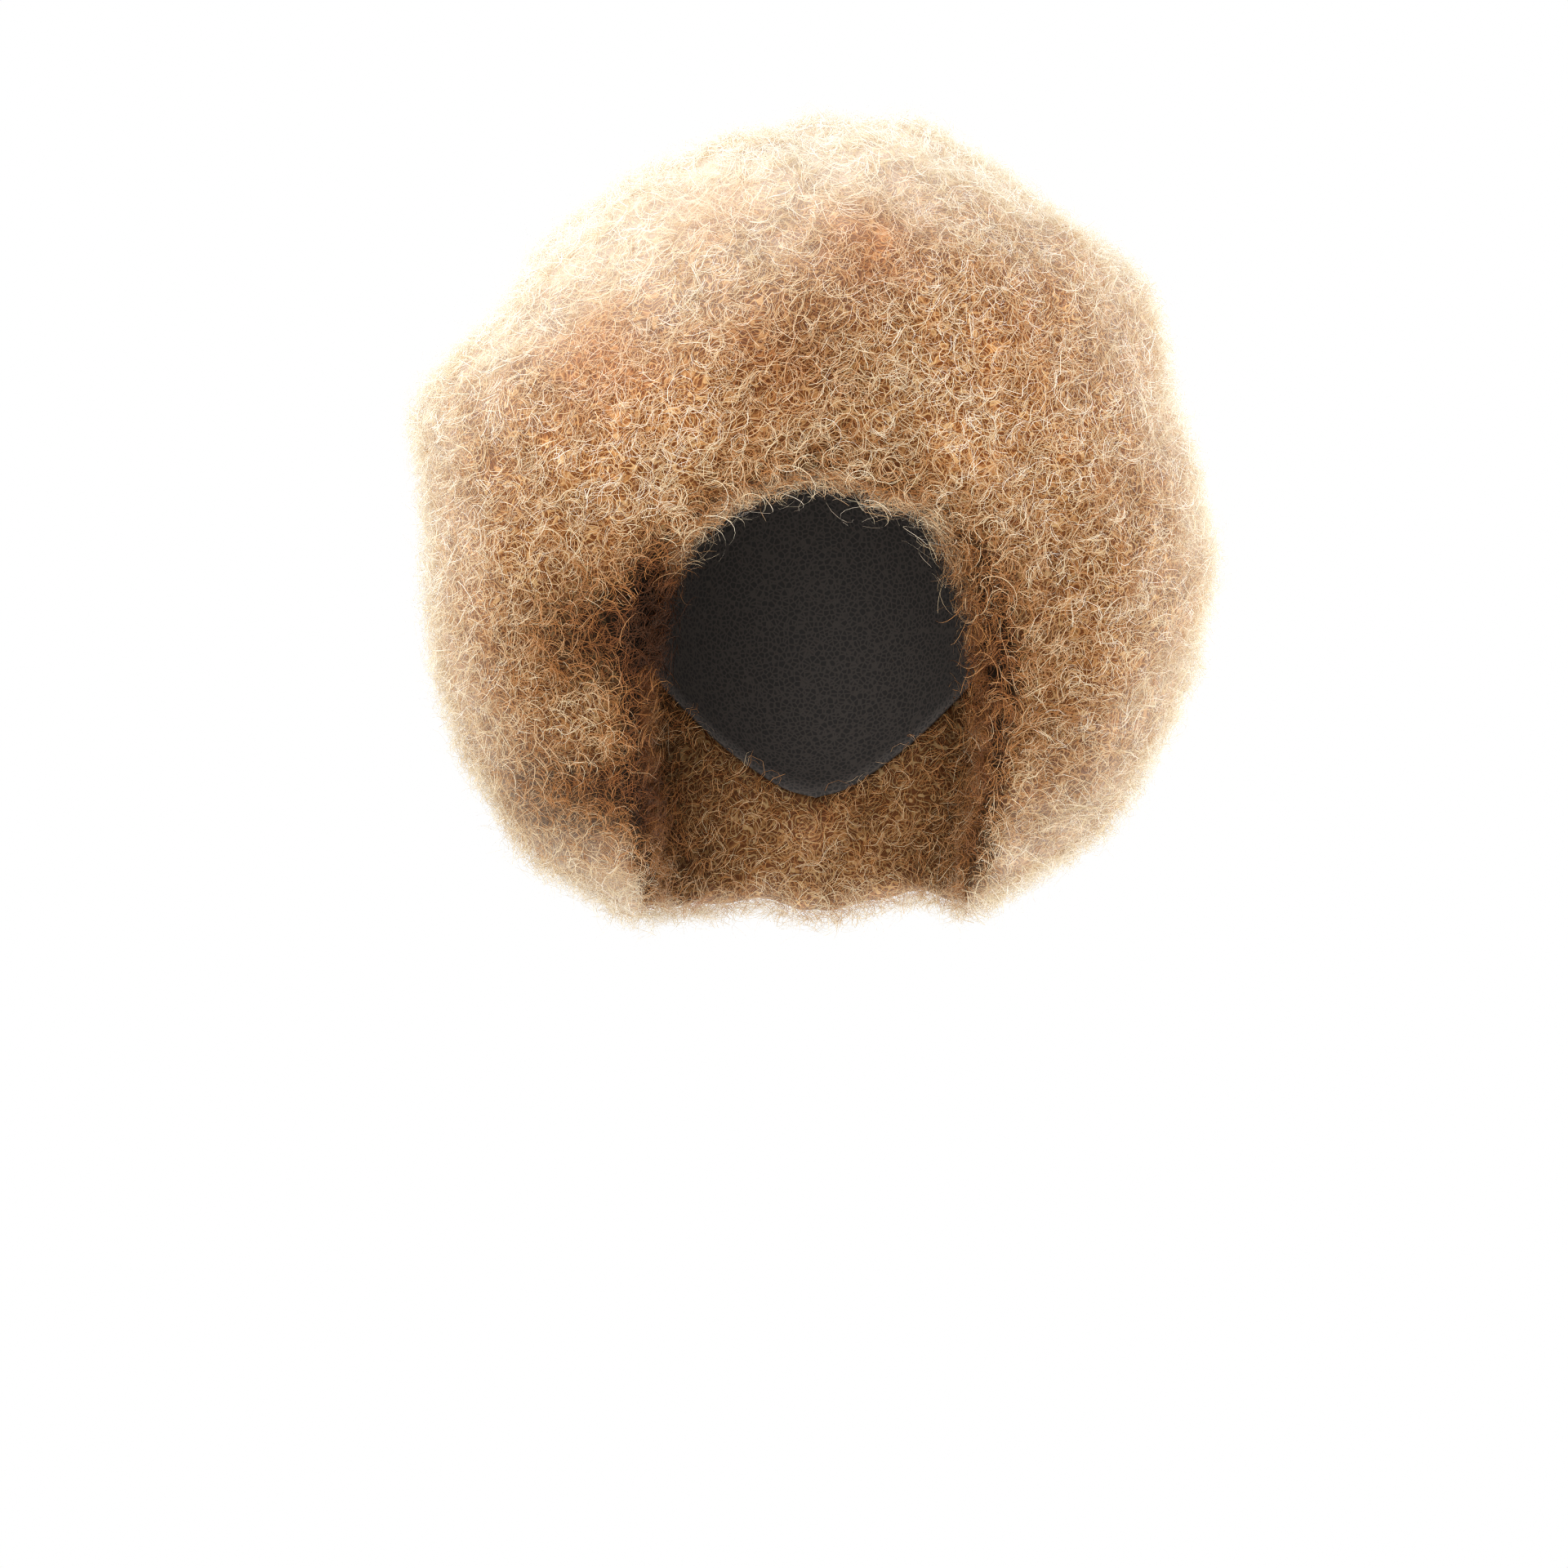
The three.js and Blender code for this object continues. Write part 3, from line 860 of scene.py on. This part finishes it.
def cap_piece(material):
    """The cap: the ellipsoid from the crown to the rim, inside and outside, joined round the rim.

    Rows run down the inside and up the outside, columns run round, and a point closes each crown.
    """
    last = len(CAP_RIM) - 1
    half = np.linspace(0, last, last * CAP_COLUMNS_PER_STATION + 1)
    azimuth, rim = (smooth_through(values, half) for values in CAP_RIM.T)
    azimuth = np.radians(np.concatenate([azimuth, -azimuth[-2:0:-1]]))
    rim = np.concatenate([rim, rim[-2:0:-1]]) * MM
    columns = len(azimuth)
    rim_angle = np.arccos((rim - INSIDE_CENTRE[2]) / INSIDE_HALF[2])
    share = np.linspace(0, 1, CAP_ROWS + 1)[1:]
    offset = np.repeat([0, CAP_WALL], CAP_ROWS)[:, None, None]
    down = np.concatenate([share, share[::-1]])[:, None] * rim_angle
    ways = np.stack(
        [np.sin(down) * np.sin(azimuth), -np.sin(down) * np.cos(azimuth), np.cos(down)],
        axis=-1,
    )
    rings = INSIDE_CENTRE + ways * (INSIDE_HALF + offset)
    crowns = INSIDE_CENTRE + np.array([[0, 0, 1]]) * (INSIDE_HALF + np.array([[0], [CAP_WALL]]))
    index = np.arange(2 * CAP_ROWS * columns).reshape(2 * CAP_ROWS, columns)
    turned = np.roll(index, -1, axis=1)
    inner_crown = np.full(columns, index.size)
    outer_crown = inner_crown + 1
    triangles = [
        np.stack([index[:-1], turned[:-1], turned[1:]], axis=-1).reshape(-1, 3),
        np.stack([index[:-1], turned[1:], index[1:]], axis=-1).reshape(-1, 3),
        np.stack([inner_crown, turned[0], index[0]], axis=-1),
        np.stack([outer_crown, index[-1], turned[-1]], axis=-1),
    ]
    mesh = mesh_from("cap_net", np.concatenate([rings.reshape(-1, 3), crowns]), np.concatenate(triangles))
    mesh.shade_smooth()
    mesh.materials.append(material)
    return shown("cap_net", mesh)


def add_area(name, place, size, power):
    """A soft square light aimed at the wig."""
    data = bpy.data.lights.new(name, "AREA")
    data.size = size
    data.energy = power
    light = shown(name, data)
    light.location = place
    light.rotation_euler = (Vector(LIGHT_TARGET) - Vector(place)).to_track_quat("-Z", "Y").to_euler()
    light.visible_camera = False
    return light


def split_by_sight(tree, seen, lighting):
    """Joins two shaders: one that the camera sees directly, and one that lights the scene."""
    path = tree.nodes.new("ShaderNodeLightPath")
    mix = tree.nodes.new("ShaderNodeMixShader")
    tree.links.new(path.outputs["Is Camera Ray"], mix.inputs["Fac"])
    tree.links.new(lighting, mix.inputs[1])
    tree.links.new(seen, mix.inputs[2])
    return mix.outputs["Shader"]


def add_world():
    """A white sky, dimmer as a light than it looks."""
    world = bpy.data.worlds.new("studio")
    world.use_nodes = True
    tree = world.node_tree
    lighting = tree.nodes["Background"]
    lighting.inputs["Color"].default_value = WHITE
    lighting.inputs["Strength"].default_value = SKY_LIGHT
    seen = tree.nodes.new("ShaderNodeBackground")
    seen.inputs["Color"].default_value = WHITE
    shader = split_by_sight(tree, seen.outputs["Background"], lighting.outputs["Background"])
    tree.links.new(shader, tree.nodes["World Output"].inputs["Surface"])
    bpy.context.scene.world = world


def add_floor():
    """A floor that looks as white as the sky and throws back pale light."""
    corners = np.array([[-1, -1, 0], [1, -1, 0], [1, 1, 0], [-1, 1, 0]]) * FLOOR_HALF + [0, 0, FLOOR_Z]
    mesh = mesh_from("floor", corners, np.array([[0, 1, 2, 3]]))
    material, nodes, links, shader = new_material("floor")
    shader.inputs["Base Color"].default_value = FLOOR_COLOUR
    shader.inputs["Roughness"].default_value = FLOOR_ROUGHNESS
    white = nodes.new("ShaderNodeEmission")
    seen = split_by_sight(material.node_tree, white.outputs["Emission"], shader.outputs["BSDF"])
    links.new(seen, nodes["Material Output"].inputs["Surface"])
    mesh.materials.append(material)
    return shown("floor", mesh)


def add_stage():
    """A white room: floor, sky, soft lights and the camera."""
    scene = bpy.context.scene
    scene.view_settings.view_transform = "Standard"
    scene.cycles.filter_width = FILTER_WIDTH
    scene.cycles.use_denoising = True
    scene.cycles.denoising_prefilter = "NONE"
    scene.cycles.denoising_input_passes = "RGB_ALBEDO_NORMAL"
    add_world()
    floor = add_floor()
    lights = [add_area(name, *row) for name, row in LIGHTS.items()]
    camera_data = bpy.data.cameras.new("camera")
    camera_data.lens = CAMERA_LENS
    camera_data.sensor_width = SENSOR_WIDTH
    camera = shown("camera", camera_data)
    camera.location = CAMERA_PLACE
    camera.rotation_euler = (math.pi / 2, 0, 0)
    scene.camera = camera


def main():
    """Builds the wig and the stage."""
    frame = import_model()
    skin_mesh = hair_skin(frame["nodes"])
    body = hair_body(skin_mesh)
    body.data.materials.append(body_material())
    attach(body, "root")
    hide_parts(*HAIR_NODES)

    skin = Skin(skin_mesh)
    rng = np.random.default_rng(SEED)
    kinds = [strands_of(rng, skin, kind_name) for kind_name in CURLS]
    material = strand_material()
    for number, name in enumerate(HAIR_NODES):
        for side, is_right in (("right", True), ("left", False)):
            masks = [(strands["label"] == number) & (strands["is_right"] == is_right) for strands in kinds]
            parts = [ribbons(strands, mine) for strands, mine in zip(kinds, masks) if mine.any()]
            if not parts:
                continue
            piece = strand_piece(f"{name.replace('hair', 'curls')}_{side}", parts, material)
            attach(piece, "root")
    bpy.data.meshes.remove(skin_mesh)

    cap = cap_piece(cap_material())
    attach(cap, "root")
    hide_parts(CAP_NODE)

    add_stage()


main()
